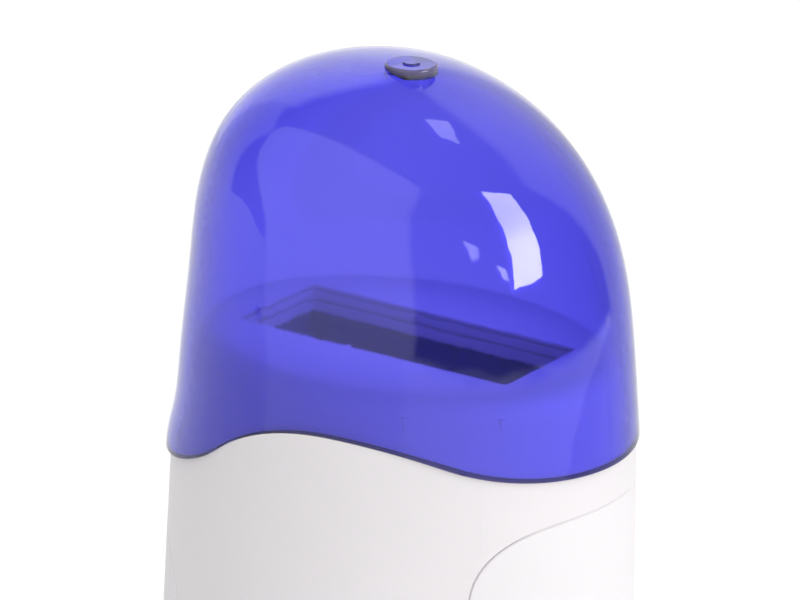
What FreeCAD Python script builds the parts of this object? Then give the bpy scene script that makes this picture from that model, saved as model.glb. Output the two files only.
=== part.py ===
"""Hand-held roll-on wax heater: oval body, see-through domed cap, slot for a wax cartridge.

Frame: millimetres, +Z up, origin on the table under the middle of the body. X runs along the
cartridge slot, and the wide face with the level window and the button looks towards -Y.
"""

import FreeCAD
import Part
import Sketcher
import math
import os
import re

Vector = FreeCAD.Vector
AXES = {"X": Vector(1, 0, 0), "Y": Vector(0, 1, 0), "Z": Vector(0, 0, 1)}

SIZES = {
    # body
    "deck_height": 145.0,  # deck over the table
    "half_length": 37.8,  # body at the deck's height, along X
    "half_depth": 31.7,  # body at the deck's height, along Y
    "end_fullness": 1.05325,  # narrow ends' radius against that of an ellipse as long and deep
    "body_taper": 0.028,  # how much each side widens per millimetre downwards
    "base_round": 1.6,
    "wall": 2.4,
    "shell_bottom": 1.2,
    "deck_thickness": 2.4,
    # wavy parting line, as levels from the deck
    "rim_left_drop": 21.5,
    "rim_left_end": 36.4,
    "rim_crest_drop": 7.0,
    "rim_crest_x": 5.8,
    "rim_right_drop": 13.5,
    "rim_right_end": 42.8,
    "rim_gap": 0.15,
    "rim_margin": 3.0,  # skirt of the uncut cap below its lowest rim
    # cap
    "cap_wall": 1.8,
    "cap_proud": 0.8,  # cap's skirt outside the body at the lowest rim
    "cap_shift": 0.4,  # cap and neck stand this much towards +X
    "cap_draft": 0.09,
    "dome_rise": 43.5,  # top of the dome over the deck
    "left_shoulder": 15.7,
    "left_fullness": 2.0,
    "left_squareness": 3.6,
    "right_shoulder": -11.2,
    "right_fullness": 4.7,
    "right_squareness": 0.93,
    "side_shoulder": 23.6,
    "side_fullness": 3.05,
    "side_squareness": 1.96,
    "dome_lean": -0.65,  # top of the dome along X from the middle of its foot
    "dome_flat": 0.12,
    "boss_radius": 4.15,
    "boss_height": 0.65,
    "boss_round": 0.45,
    "nub_radius": 1.35,
    "nub_height": 0.25,
    # neck under the cap
    "neck_gap": 0.5,
    "neck_round": 3.8,
    "bump_width": 1.5,
    "bump_height": 3.7,
    "bump_proud": 0.1,
    "bump_drop": 4.5,
    "near_bump_x": 16.17,
    "far_bump_turn": 43.0,  # degrees from +X or -X, round the narrow end
    # cartridge slot and well
    "slot_length": 50.0,
    "slot_width": 21.0,
    "slot_corner": 0.8,
    "lip_depth": 4.4,
    "lip_wall": 1.6,
    "lip_groove_height": 0.5,
    "lip_groove_depth": 0.8,
    "upper_groove_drop": 0.4,
    "lower_groove_drop": 2.2,
    "well_gap": 0.6,
    "well_wall": 1.4,
    "well_corner": 2.2,
    "well_depth": 100.0,
    "flange_drop": 12.0,
    "flange_thickness": 2.0,
    "flange_length": 48.0,
    "flange_width": 38.0,
    "flange_corner": 6.0,
    "flange_screw_x": 5.0,  # from the flange's ends
    "flange_screw_y": 3.1,  # from the flange's sides
    "post_radius": 3.0,
    # heating
    "plate_length": 44.0,
    "plate_thickness": 2.0,
    "plate_round": 1.5,
    "plate_lift": 5.0,  # over the well's floor
    "plate_drop": 6.0,  # under the well's flange
    "heater_length": 30.0,
    "heater_height": 20.0,
    "heater_thickness": 2.6,
    "heater_round": 1.0,
    "heater_drop": 33.0,  # heater's middle under the plate's top
    "mica_thickness": 0.5,
    "mica_margin": 1.0,
    "clamp_width": 14.0,
    "clamp_sheet": 0.5,
    "clamp_foot": 5.0,
    "clamp_gap": 0.3,
    "clamp_lean": 3.0,
    "control_lift": 13.0,  # thermostat and fuse over the plate's bottom
    "thermostat_radius": 7.0,
    "thermostat_rim": 2.0,
    "thermostat_height": 7.0,
    "thermostat_step": 1.0,
    "thermostat_x": -8.0,
    "fuse_radius": 2.0,
    "fuse_length": 12.0,
    "fuse_x": 11.0,
    # grips
    "grip_depth": 1.5,
    "grip_gap": 0.06,
    "grip_bevel": 0.4,
    "grip_corner": 12.2,
    "grip_bottom": 30.0,
    "right_grip_drop": 19.6,
    "right_grip_edge": 27.4,
    "left_grip_drop": 34.6,
    "left_grip_edge": 25.0,
    # level window
    "window_width": 10.0,
    "window_low": 57.0,
    "window_high": 101.0,
    "window_gap": 0.1,
    "window_flange": 1.5,
    "window_sheet": 1.2,
    "window_rim": 1.0,  # openings behind the window are smaller by steps of this
    "view_margin": 3.5,  # least metal under and over those openings
    # board, lamp and button
    "board_length": 40.0,
    "board_low": 20.0,
    "board_high": 50.0,
    "board_thickness": 1.6,
    "board_setback": 12.5,  # from the inside of the wall to the board's front face
    "board_hole_x": 16.0,
    "board_hole_inset": 4.5,
    "lamp_z": 46.5,
    "lamp_radius": 1.5,
    "lamp_rim": 0.3,
    "lamp_height": 5.0,
    "lens_radius": 2.4,
    "lens_flange": 1.0,
    "lens_proud": 0.3,
    "lens_gap": 0.05,
    "button_z": 31.0,
    "button_radius": 6.5,
    "button_gap": 0.2,
    "button_proud": 1.3,
    "button_flange": 1.5,
    "button_sheet": 1.2,
    "button_travel": 1.5,
    "stem_radius": 2.5,
    "stem_length": 1.8,
    "plunger_radius": 1.5,
    "plunger_gap": 0.08,
    "plunger_grip": 4.0,
    "switch_side": 8.5,
    "switch_depth": 7.0,
    "switch_round": 0.6,
    "spring_wire": 0.5,
    "spring_radius": 3.4,
    "spring_turns": 3,
    # mains inlet
    "inlet_z": 19.0,
    "inlet_length": 19.0,
    "inlet_height": 11.5,
    "inlet_depth": 15.0,
    "inlet_flange": 2.0,
    "inlet_flange_sheet": 1.6,
    "inlet_bite": 2.0,  # the flat seat's depth into the curved wall
    "inlet_pad": 3.5,
    "inlet_cavity_depth": 11.0,
    "inlet_lobe": 4.0,
    "pin_spacing": 8.6,
    "pin_radius": 1.2,
    "pin_length": 13.0,
    "pin_inset": 1.0,  # pins' ends behind the socket's face
    # base
    "cover_bottom": 2.0,
    "cover_thickness": 2.4,
    "cover_gap": 0.15,
    "cover_rim": 4.6,
    "cover_rim_wall": 1.6,
    "base_post_turn": 42.0,  # degrees from +X or -X, round the narrow ends
    "base_post_radius": 4.5,
    "base_post_bite": 0.8,  # how far a post reaches into the wall
    "base_post_top": 26.0,
    "foot_x": 20.0,
    "foot_y": 21.0,
    "foot_radius": 5.0,
    "foot_recess": 0.8,
    "foot_bevel": 0.6,
    # screws
    "screw_radius": 1.3,
    "screw_head": 2.7,
    "screw_head_height": 1.1,
    "screw_length": 10.0,
    "well_screw_length": 8.0,
    "screw_gap": 0.05,
    "screw_hole_gap": 0.25,
    # joining and cutting
    "bite": 0.5,  # overlap of two solids that are joined
    "seat_gap": 0.1,
    "touch_gap": 0.02,
    "cutter": 120.0,  # longer than the body is across
}

DOME_STATIONS = 13
STATION_CROWDING = 1.9  # how much closer the dome's sections lie towards its top
CORNERS = ((1, 1), (-1, 1), (-1, -1), (1, -1))

# The body's level outline is an oval of four tangent arcs. Its end arcs have their centres on the
# X axis at END, and its side arcs have theirs on the Y axis, SIDE beyond the middle.
END_RADIUS = "(end_fullness * half_depth ^ 2 / half_length)"
END = f"(half_length - {END_RADIUS})"
NARROWER = f"(half_depth - {END_RADIUS})"
SIDE = f"(({END} ^ 2 - {NARROWER} ^ 2) / (2 * {NARROWER}))"

# Corners of the region under the wavy parting line, seen from the wide face.
RIM_OUTLINE = (
    ("-cutter / 2", "-rim_left_drop"),
    ("-rim_left_end", "-rim_left_drop"),
    ("rim_crest_x", "-rim_crest_drop"),
    ("rim_right_end", "-rim_right_drop"),
    ("cutter / 2", "-rim_right_drop"),
    ("cutter / 2", "-deck_height - cutter / 10"),
    ("-cutter / 2", "-deck_height - cutter / 10"),
)
RIM_CREST = (2, 3)  # the two arcs that meet at the crest, which a sketch draws from right to left
CURVE_START, CURVE_END, CURVE_CENTRE = range(1, 4)  # a sketch's own numbers for a curve's points
X_AXIS = -1  # and for its X axis

doc = FreeCAD.newDocument("roll_on_wax_heater")
sheet = doc.addObject("Spreadsheet::Sheet", "Sizes")
for row, (alias, number) in enumerate(SIZES.items(), start=1):
    sheet.set(f"A{row}", alias.replace("_", " "))
    sheet.set(f"B{row}", str(number))
    sheet.setAlias(f"B{row}", alias)
unit_circle = doc.addObject("Part::Circle", "unit_circle")
unit_circle.Radius = 1
doc.recompute()


# ---------------------------------------------------------------- helpers

def cells(text):
    """Expression text in which each size's name stands for its cell."""
    return re.sub(r"[a-z_]+[a-z]", lambda word: f"Sizes.{word[0]}" if word[0] in SIZES else word[0], text)


def value(text):
    """Number that an expression in the sizes has now."""
    return float(sheet.evalExpression(cells(text)))


def bind(thing, **texts):
    """Tie properties to expressions in the sizes."""
    for name, text in texts.items():
        thing.setExpression(name, cells(str(text)))
    return thing


def place(thing, x=0, y=0, z=0):
    """Tie a thing's position to expressions in the sizes."""
    for axis, text in zip("xyz", (x, y, z)):
        thing.setExpression(f"Placement.Base.{axis}", cells(str(text)))
    return thing


def block(name, length, width, height, x=0, y=0, z=0):
    """Block centred on x and y, standing on z."""
    thing = bind(doc.addObject("Part::Box", name), Length=length, Width=width, Height=height)
    return place(thing, f"{x} - ({length}) / 2", f"{y} - ({width}) / 2", z)


def rod(name, radius, height, x=0, y=0, z=0, axis="Z"):
    """Cylinder that starts at a point and runs along an axis."""
    thing = bind(doc.addObject("Part::Cylinder", name), Radius=radius, Height=height)
    thing.Placement.Rotation = FreeCAD.Rotation(AXES["Z"], AXES[axis])
    return place(thing, x, y, z)


def cut(name, base, *tools):
    """Base without the tools."""
    tool = tools[0] if len(tools) == 1 else fuse(name + "_tools", *tools)
    thing = doc.addObject("Part::Cut", name)
    thing.Base, thing.Tool = base, tool
    return thing


def fuse(name, *things):
    thing = doc.addObject("Part::MultiFuse", name)
    thing.Shapes = list(things)
    return thing


def common(name, *things):
    thing = doc.addObject("Part::MultiCommon", name)
    thing.Shapes = list(things)
    return thing


def group(name, *things):
    """Several separate solids in one node."""
    thing = doc.addObject("Part::Compound", name)
    thing.Links = list(things)
    return thing


def along(axis):
    """Test for straight edges that run along an axis."""
    def test(edge):
        straight = edge.Curve.TypeId == "Part::GeomLine"
        return straight and abs(edge.tangentAt(edge.FirstParameter) * AXES[axis]) > 0.99
    return test


def rounded(name, base, radius, chosen, kind="Part::Fillet"):
    """Base with the chosen edges rounded, or bevelled."""
    doc.recompute()
    size = value(radius)
    thing = doc.addObject(kind, name)
    thing.Base = base
    thing.Edges = [(n, size, size) for n, edge in enumerate(base.Shape.Edges, start=1) if chosen(edge)]
    return thing


def rounded_block(name, radius, axis, *block_sizes, **at):
    """Block whose four edges along an axis are rounded."""
    return rounded(name, block(name + "_block", *block_sizes, **at), radius, along(axis))


def tie(sketch, constraint, name, text):
    """Add a constraint and tie its size to an expression."""
    sketch.addConstraint(constraint)
    sketch.renameConstraint(sketch.ConstraintCount - 1, name)
    bind(sketch, **{f"Constraints.{name}": text})


def oval(name, half_length, half_depth, x, z):
    """Level oval: the unit circle stretched along X and Y."""
    thing = doc.addObject("Part::Scale", name)
    thing.Base, thing.Uniform = unit_circle, False
    bind(thing, XScale=half_length, YScale=half_depth)
    return place(thing, x, 0, z)


def loft(name, sections):
    thing = doc.addObject("Part::Loft", name)
    thing.Sections = sections
    thing.Solid = True
    return thing


# ---------------------------------------------------------------- forms that several pieces share

def four_arcs(name, grow):
    """Sketch of the body's level oval, grown by an amount all round."""
    sketch = doc.addObject("Sketcher::SketchObject", name)
    end, side, wider = value(END), value(SIDE), value(grow)
    turn = math.atan2(side, end)
    end_radius, side_radius = f"{END_RADIUS} + {grow}", f"half_depth + {SIDE} + {grow}"
    arcs = ((end, 0, value(end_radius), -turn, turn), (0, -side, value(side_radius), turn, math.pi - turn),
            (-end, 0, value(end_radius), math.pi - turn, math.pi + turn),
            (0, side, value(side_radius), math.pi + turn, 2 * math.pi - turn))
    for x, y, radius, first, last in arcs:
        circle_line = Part.Circle(Vector(x, y, 0), AXES["Z"], radius)
        sketch.addGeometry(Part.ArcOfCircle(circle_line, first, last), False)
    for n in range(4):
        sketch.addConstraint(Sketcher.Constraint("Tangent", n, CURVE_END, (n + 1) % 4, CURVE_START))
    for first, second in ((0, 2), (1, 3)):
        sketch.addConstraint(Sketcher.Constraint("Equal", first, second))
    for n, side in ((0, ""), (2, "-")):
        sketch.addConstraint(Sketcher.Constraint("PointOnObject", n, CURVE_CENTRE, X_AXIS))
        centre = side + END
        tie(sketch, Sketcher.Constraint("DistanceX", n, CURVE_CENTRE, value(centre)), f"end{n}", centre)
    for n, text in ((0, end_radius), (1, side_radius)):
        tie(sketch, Sketcher.Constraint("Radius", n, value(text)), f"radius{n}", text)
    return sketch


def tapered(name, grow, taper, low, high, x="0"):
    """Body's oval drawn up between two levels, getting narrower by its taper."""
    thing = doc.addObject("Part::Extrusion", name)
    thing.Base = four_arcs(name + "_oval", grow)
    thing.Dir, thing.DirMode, thing.Solid = AXES["Z"], "Custom", True
    bind(thing, LengthFwd=f"({high}) - ({low})", TaperAngle=f"-atan({taper})")
    place(thing.Base, x, 0, low)
    return thing


def body_form(name, inset, low="shell_bottom", high="deck_height"):
    """Body's outside form, all its sides moved in by inset."""
    return tapered(name, f"(body_taper * (deck_height - ({low})) - ({inset}))", "body_taper", low, high)


def dome_reach(side, level, inset):
    """How far the cap reaches to one side at a level over the deck, its wall moved in by inset."""
    skirt = "half_depth" if side == "side" else "half_length"
    shift = {"left": "- cap_shift", "right": "+ cap_shift", "side": ""}[side]
    straight = f"({skirt} + cap_proud + body_taper * rim_left_drop {shift} - ({inset})"
    straight += f" - cap_draft * ({level} + rim_left_drop))"
    climb = f"max(0; ({level} - {side}_shoulder) / (dome_rise - ({inset}) - {side}_shoulder))"
    return f"{straight} * (1 - {climb} ^ {side}_fullness) ^ (1 / {side}_squareness)"


def dome_section(name, level, inset):
    left, right, side = (dome_reach(which, level, inset) for which in ("left", "right", "side"))
    lean = f"dome_lean * (({level} + rim_left_drop) / (dome_rise + rim_left_drop)) ^ 2"
    return oval(name, f"({left} + {right}) / 2", side, f"({right} - {left}) / 2 + {lean}",
                f"deck_height + ({level})")


def dome_form(name, inset):
    """Cap's outer or inner form, from under its lowest rim to the top of the dome."""
    low, high = "(-rim_left_drop - rim_margin)", f"(dome_rise - dome_flat - ({inset}))"
    sections = []
    for n in range(DOME_STATIONS):
        share = 1 - (1 - n / (DOME_STATIONS - 1)) ** STATION_CROWDING
        sections.append(dome_section(f"{name}_{n}", f"({low} + ({high} - {low}) * {share:.4f})", inset))
    return loft(name, sections)


def neck_growth(level, inset="0"):
    """How much wider than the body at the deck the neck is, at a level over the deck."""
    return (f"(cap_proud + body_taper * rim_left_drop - cap_draft * ({level} + rim_left_drop)"
            f" - cap_wall - neck_gap - ({inset}))")


def neck_form(name, inset, low, high):
    """Neck's tapering oval, inside the cap by a clearance, between two levels over the deck."""
    return tapered(name, neck_growth(low, inset), "cap_draft", f"deck_height + ({low})",
                   f"deck_height + ({high})", "cap_shift")


def under_rim(name, lift):
    """Everything under the wavy parting line: level, S-curve up to the crest, S-curve down, level."""
    sketch = doc.addObject("Sketcher::SketchObject", name + "_sketch")
    sketch.Placement.Rotation = FreeCAD.Rotation(AXES["X"], 90)
    place(sketch, z=f"deck_height + {lift}")
    outline = [Vector(value(x), value(y), 0) for x, y in RIM_OUTLINE]
    far_left, left, crest, right, far_right, low_right, low_left = outline
    curves = [Part.LineSegment(far_left, left)] + s_curve(left, crest) + s_curve(crest, right)
    curves += [Part.LineSegment(first, last) for first, last in (
        (right, far_right), (far_right, low_right), (low_right, low_left), (low_left, far_left))]
    for curve in curves:
        sketch.addGeometry(curve, False)
    tie_rim(sketch)
    thing = doc.addObject("Part::Extrusion", name)
    thing.Base, thing.Dir, thing.DirMode = sketch, AXES["Y"], "Custom"
    thing.Symmetric, thing.Solid = True, True
    return bind(thing, LengthFwd="cutter")


def s_curve(start, end):
    """Two equal tangent arcs between points where the curve is level."""
    across, up = end.x - start.x, end.y - start.y
    radius = (across ** 2 + up ** 2) / (4 * abs(up))
    turn = 1 if up > 0 else -1
    arcs = []
    for point, side in ((start, 1), (end, -1)):
        middle = (start + end) / 2
        centre = Vector(point.x, point.y + side * turn * radius, 0)
        half_way = (point + middle) / 2 - centre
        on_arc = centre + half_way.normalize() * radius
        first, last = (point, middle) if side > 0 else (middle, point)
        if centre.y < point.y:  # a sketch's arcs run anticlockwise
            first, last = last, first
        arcs.append(Part.Arc(first, on_arc, last))
    return arcs


def tie_rim(sketch):
    """Tie the parting line's sketch to the sizes."""
    sketch.addConstraint([Sketcher.Constraint("Horizontal", n) for n in (0, 5, 7)])
    sketch.addConstraint([Sketcher.Constraint("Vertical", n) for n in (6, 8)])
    ends = [(CURVE_END, CURVE_START) if n in RIM_CREST else (CURVE_START, CURVE_END) for n in range(9)]
    for n in range(9):
        kind = "Tangent" if n < 5 else "Coincident"
        after = (n + 1) % 9
        sketch.addConstraint(Sketcher.Constraint(kind, n, ends[n][1], after, ends[after][0]))
    for first, second in ((1, 2), (3, 4)):
        sketch.addConstraint(Sketcher.Constraint("Equal", first, second))
    sketch.addConstraint(Sketcher.Constraint("Vertical", 2, CURVE_START, 2, CURVE_CENTRE))
    points = ((0, CURVE_START, 0, "X"), (0, CURVE_END, 1, "XY"), (2, CURVE_START, 2, "XY"),
              (5, CURVE_START, 3, "XY"), (5, CURVE_END, 4, "X"), (7, CURVE_START, 5, "Y"))
    for curve, point, place_in_outline, axes in points:
        for axis in axes:
            text = RIM_OUTLINE[place_in_outline]["XY".index(axis)]
            tie(sketch, Sketcher.Constraint(f"Distance{axis}", curve, point, value(text)),
                f"{axis}{curve}_{point}", text)


def grip_profile(name, side, edge, drop, grow):
    """Block with rounded inner corners that marks out one grip, seen from the wide face."""
    reach = "cutter / 3"
    height = f"deck_height - {drop} - grip_bottom + 2 * {grow}"
    thing = block(name + "_block", f"{reach} + {grow}", "cutter", height,
                  x=f"{side} * ({edge} + ({reach} - {grow}) / 2)", z=f"grip_bottom - {grow}")
    return rounded(name, thing, f"grip_corner + {grow}", along("Y"))


# ---------------------------------------------------------------- cap

def make_cap():
    shell = cut("cap_shell", dome_form("cap_outside", "0"), dome_form("cap_inside", "cap_wall"))
    skirt = cut("cap_skirt", shell, under_rim("cap_rim", "rim_gap"))
    foot = "deck_height + dome_rise - cap_wall / 2"
    boss = rod("cap_boss_rod", "boss_radius", "boss_height + cap_wall / 2", "dome_lean", z=foot)
    boss = rounded("cap_boss", boss, "boss_round", lambda edge: edge.BoundBox.ZMin > value(foot) + 1e-3)
    nub = rod("cap_nub", "nub_radius", "nub_height + bite", "dome_lean",
              z="deck_height + dome_rise + boss_height - bite")
    return fuse("cap", skirt, boss, nub)


# ---------------------------------------------------------------- housing

def well_posts():
    """Places of the well's four screws, as expressions for x and y."""
    return [(f"{x} * (flange_length / 2 - flange_screw_x)", f"{y} * (flange_width / 2 - flange_screw_y)")
            for x, y in CORNERS]


def base_posts():
    """Places of the base's four screws, just inside the wall round the narrow ends."""
    reach = f"({END_RADIUS} + body_taper * (deck_height - cover_bottom) - wall"
    reach += " - base_post_radius + base_post_bite)"
    return [(f"{x} * ({END} + {reach} * cos(base_post_turn))", f"{y} * {reach} * sin(base_post_turn)")
            for x, y in CORNERS]


def board_face():
    """Expression for the distance of the board's front face from the middle plane."""
    return f"({body_front('button_z')} - wall - board_setback)"


def board_holes():
    """Places of the board's four screws, as expressions for x and z."""
    levels = ("board_low + board_hole_inset", "board_high - board_hole_inset")
    return [(f"{side} * board_hole_x", level) for side in (-1, 1) for level in levels]


def body_front(z):
    """Expression for the body's half depth at a height."""
    return f"(half_depth + body_taper * (deck_height - {z}))"


def inlet_seat():
    """Expression for the y of the inlet's flat seat."""
    return f"({body_front('inlet_z')} - inlet_bite)"


def window_block(name, grow):
    """Tall rounded block for the level window, its opening or its flange."""
    return rounded_block(name, f"window_width / 2 + {grow} - touch_gap", "Y", f"window_width + 2 * {grow}",
                         "cutter / 2", f"window_high - window_low + 2 * {grow}", y="-cutter / 4",
                         z=f"window_low - {grow}")


def deck_parts():
    """Slot's lip and the posts for the well's screws, all hanging from the deck."""
    lip = rounded_block("slot_lip", "slot_corner + lip_wall", "Z", "slot_length + 2 * lip_wall",
                        "slot_width + 2 * lip_wall", "lip_depth - deck_thickness + bite",
                        z="deck_height - lip_depth")
    posts = [rod(f"well_post_{n}", "post_radius", "flange_drop - deck_thickness + bite", x, y,
                 "deck_height - flange_drop")
             for n, (x, y) in enumerate(well_posts())]
    return [lip] + posts


def wall_parts():
    """Posts on the wall for the base's and the board's screws, and the inlet's flat pad."""
    cover_top = "cover_bottom + cover_thickness"
    parts = [rod(f"base_post_{n}", "base_post_radius", f"base_post_top - ({cover_top})", x, y, cover_top)
             for n, (x, y) in enumerate(base_posts())]
    for n, (x, z) in enumerate(board_holes()):
        parts.append(rod(f"board_post_{n}", "post_radius", "cutter / 6", x,
                         f"-{board_face()} - cutter / 6", z, "Y"))
    height = "(inlet_height + 2 * inlet_pad)"
    parts.append(block("inlet_pad_block", "inlet_length + 2 * inlet_pad", "inlet_pad + inlet_bite", height,
                       y=f"{inlet_seat()} + (inlet_bite - inlet_pad) / 2", z=f"inlet_z - {height} / 2"))
    return common("wall_parts", fuse("wall_parts_all", *parts), body_form("wall_parts_limit", "wall / 2"))


def inlet_holes():
    """Shallow flat seat for the inlet's flange and the hole for its barrel."""
    flange = "(inlet_flange + seat_gap)"
    seat = rounded_block("inlet_seat_hole", "inlet_flange", "Y", f"inlet_length + 2 * {flange}", "cutter / 6",
                         f"inlet_height + 2 * {flange}", y=f"{inlet_seat()} + cutter / 12",
                         z=f"inlet_z - inlet_height / 2 - {flange}")
    barrel = block("inlet_hole", "inlet_length + 2 * seat_gap", "cutter / 4", "inlet_height + 2 * seat_gap",
                   y=inlet_seat(), z="inlet_z - inlet_height / 2 - seat_gap")
    return [seat, barrel]


def front_hole(name, radius, z):
    """Round hole through the wide face, which ends half way to the board."""
    length = f"cutter / 2 - {body_front(z)} + wall + board_setback / 2"
    return rod(name, radius, length, 0, "-cutter / 2", z, "Y")


def housing_holes():
    holes = [rounded_block("slot_hole", "slot_corner", "Z", "slot_length", "slot_width", "cutter / 6",
                           z="deck_height - cutter / 8")]
    for drop in ("upper_groove_drop", "lower_groove_drop"):
        holes.append(rounded_block(f"slot_{drop}", "slot_corner + lip_groove_depth", "Z",
                                   "slot_length + 2 * lip_groove_depth", "slot_width + 2 * lip_groove_depth",
                                   "lip_groove_height", z=f"deck_height - {drop} - lip_groove_height"))
    holes.append(window_block("window_hole", "window_gap"))
    holes.append(front_hole("button_hole", "button_radius + button_gap", "button_z"))
    holes.append(front_hole("lens_hole", "lens_radius + lens_gap", "lamp_z"))
    holes.extend(inlet_holes())
    pilot = "screw_radius + screw_gap"
    for n, (x, y) in enumerate(well_posts()):
        holes.append(rod(f"well_pilot_{n}", pilot, "well_screw_length - flange_thickness + bite", x, y,
                         "deck_height - flange_drop"))
    for n, (x, y) in enumerate(base_posts()):
        holes.append(rod(f"base_pilot_{n}", pilot, "screw_length + screw_head_height + bite", x, y,
                         "cover_bottom"))
    depth = "(screw_length - board_thickness + bite)"
    for n, (x, z) in enumerate(board_holes()):
        holes.append(rod(f"board_pilot_{n}", pilot, depth, x, f"-{board_face()} - {depth}", z, "Y"))
    return holes


def make_housing():
    ledge_level = "deck_height - rim_left_drop - wall"
    blank = rounded("body_outside", body_form("body_blank", "0"), "base_round",
                    lambda edge: edge.BoundBox.ZMax < value("shell_bottom") + 1e-3)
    neck = neck_form("neck_blank", "0", "-rim_left_drop - wall", "0")
    neck = rounded("neck", neck, "neck_round", lambda edge: edge.BoundBox.ZMin > value("deck_height") - 1e-3)
    outside = fuse("body_and_neck", common("body_below_rim", blank, under_rim("body_rim", "0")), neck)
    grips = [grip_profile("right_grip_hole", 1, "right_grip_edge", "right_grip_drop", "grip_gap"),
             grip_profile("left_grip_hole", -1, "left_grip_edge", "left_grip_drop", "grip_gap")]
    recess = cut("grip_recess", fuse("grip_holes", *grips), body_form("grip_floor", "grip_depth + touch_gap"))
    cavity = fuse("cavity", body_form("body_cavity", "wall", "0", ledge_level),
                  neck_form("neck_cavity", "wall", "-rim_left_drop - wall - bite", "-deck_thickness"))
    shell = cut("hollow_body", outside, recess, cavity)
    whole = fuse("housing_with_posts", shell, wall_parts(), *deck_parts(), *make_bumps())
    return cut("main_housing", whole, *housing_holes())


def make_bumps():
    """Eight upright snap bumps round the neck, four on its side arcs and four on its end arcs."""
    growth = neck_growth("(-bump_drop)", "bump_width / 2 - bump_proud")
    near = f"(half_depth + {SIDE} + {growth})"
    far = f"({END_RADIUS} + {growth})"
    spots = {"near": ("near_bump_x", f"(({near} ^ 2 - near_bump_x ^ 2) ^ 0.5 - {SIDE})"),
             "far": (f"({END} + {far} * cos(far_bump_turn))", f"{far} * sin(far_bump_turn)")}
    bumps = []
    for which, (x, y) in spots.items():
        for n, (right, back) in enumerate(CORNERS):
            bumps.append(rod(f"{which}_bump_{n}", "bump_width / 2", "bump_height",
                             f"cap_shift + {right} * {x}", f"{back} * {y}",
                             "deck_height - bump_drop - bump_height / 2"))
    return bumps


def make_grip(name, side, edge, drop):
    """Panel that lies flush in the housing's recess round one narrow end, its outer edges bevelled."""
    skin = cut(name + "_skin", body_form(name + "_outside", "0"), body_form(name + "_inside", "grip_depth"))
    panel = common(name + "_panel", skin, grip_profile(name + "_outline", side, edge, drop, "0"))
    middle = body_form(name + "_middle", "grip_depth / 2")

    def outer(edge):
        point = edge.valueAt((edge.FirstParameter + edge.LastParameter) / 2)
        return edge.Curve.TypeId != "Part::GeomLine" and not middle.Shape.isInside(point, 1e-3, True)
    return rounded(name, panel, "grip_bevel", outer, "Part::Chamfer")


def make_window():
    """Clear strip flush with the wide face, with a flange behind the wall."""
    pane = cut("window_pane_skin", body_form("window_outside", "0"),
               body_form("window_inside", "wall + window_sheet"))
    pane = common("window_pane", pane, window_block("window_outline", "0"))
    flange = cut("window_flange_skin", body_form("window_flange_outside", "wall + touch_gap"),
                 body_form("window_flange_inside", "wall + window_sheet"))
    flange = common("window_back", flange, window_block("window_flange_outline", "window_flange"))
    return fuse("level_window", pane, flange)


# ---------------------------------------------------------------- well and heating

WELL_FLOOR = "(deck_height - well_depth)"
WELL_FACE = "(slot_width / 2 + well_gap + well_wall)"  # the well's outer wide face
PLATE_BOTTOM = f"({WELL_FLOOR} + plate_lift)"
PLATE_TOP = "(deck_height - flange_drop - flange_thickness - plate_drop)"
PLATE_BACK = f"({WELL_FACE} + plate_thickness)"  # where the heater lies
HEATER_LEVEL = f"({PLATE_TOP} - heater_drop)"
CONTROL_LEVEL = f"({PLATE_BOTTOM} + control_lift)"


def view_levels(rim, bottom, top):
    """Lower and upper end of an opening behind the window, in a piece that reaches from bottom to top."""
    return (f"max(window_low + {rim}; {bottom} + view_margin)",
            f"min(window_high - ({rim}); {top} - view_margin)")


def make_well():
    high = "(deck_height - lip_depth - seat_gap)"
    inner_length, inner_width = "(slot_length + 2 * well_gap)", "(slot_width + 2 * well_gap)"
    outside = rounded_block("well_outside", "well_corner", "Z", f"{inner_length} + 2 * well_wall",
                            f"{inner_width} + 2 * well_wall", f"{high} - {WELL_FLOOR} + well_wall",
                            z=f"{WELL_FLOOR} - well_wall")
    flange = rounded_block("well_flange", "flange_corner", "Z", "flange_length", "flange_width",
                           "flange_thickness", z="deck_height - flange_drop - flange_thickness")
    room = rounded_block("well_room", "well_corner - well_wall", "Z", inner_length, inner_width,
                         f"{high} - {WELL_FLOOR} + bite", z=WELL_FLOOR)
    low, top = view_levels("3 * window_rim", WELL_FLOOR, high)
    view = block("well_view", "window_width - 2 * window_rim", "2 * slot_width", f"{top} - {low}",
                 y="-slot_width", z=low)
    holes = [rod(f"flange_hole_{n}", "screw_radius + screw_hole_gap", "flange_thickness + 2 * bite", x, y,
                 "deck_height - flange_drop - flange_thickness - bite")
             for n, (x, y) in enumerate(well_posts())]
    return cut("cartridge_well", fuse("well_with_flange", outside, flange), room, view, *holes)


def make_plate(name, side):
    plate = block(name + "_blank", "plate_length", "plate_thickness", f"{PLATE_TOP} - {PLATE_BOTTOM}",
                  y=f"{side} * ({WELL_FACE} + plate_thickness / 2)", z=PLATE_BOTTOM)
    if side > 0:
        return rounded(name, plate, "plate_round", along("Y"))
    low, top = view_levels("2 * window_rim", PLATE_BOTTOM, PLATE_TOP)
    view = block(name + "_view", "window_width", "4 * plate_thickness", f"{top} - {low}",
                 y=f"-{WELL_FACE}", z=low)
    return cut(name, rounded(name + "_rounded", plate, "plate_round", along("Y")), view)


def make_heater():
    heater = block("heating_element_blank", "heater_length", "heater_thickness", "heater_height",
                   y=f"{PLATE_BACK} + heater_thickness / 2", z=f"{HEATER_LEVEL} - heater_height / 2")
    mica = block("insulation_sheet", "heater_length + 2 * mica_margin", "mica_thickness",
                 "heater_height + 2 * mica_margin",
                 y=f"{PLATE_BACK} + heater_thickness + mica_thickness / 2",
                 z=f"{HEATER_LEVEL} - heater_height / 2 - mica_margin")
    return [rounded("heating_element", heater, "heater_round", along("Y")), mica]


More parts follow.
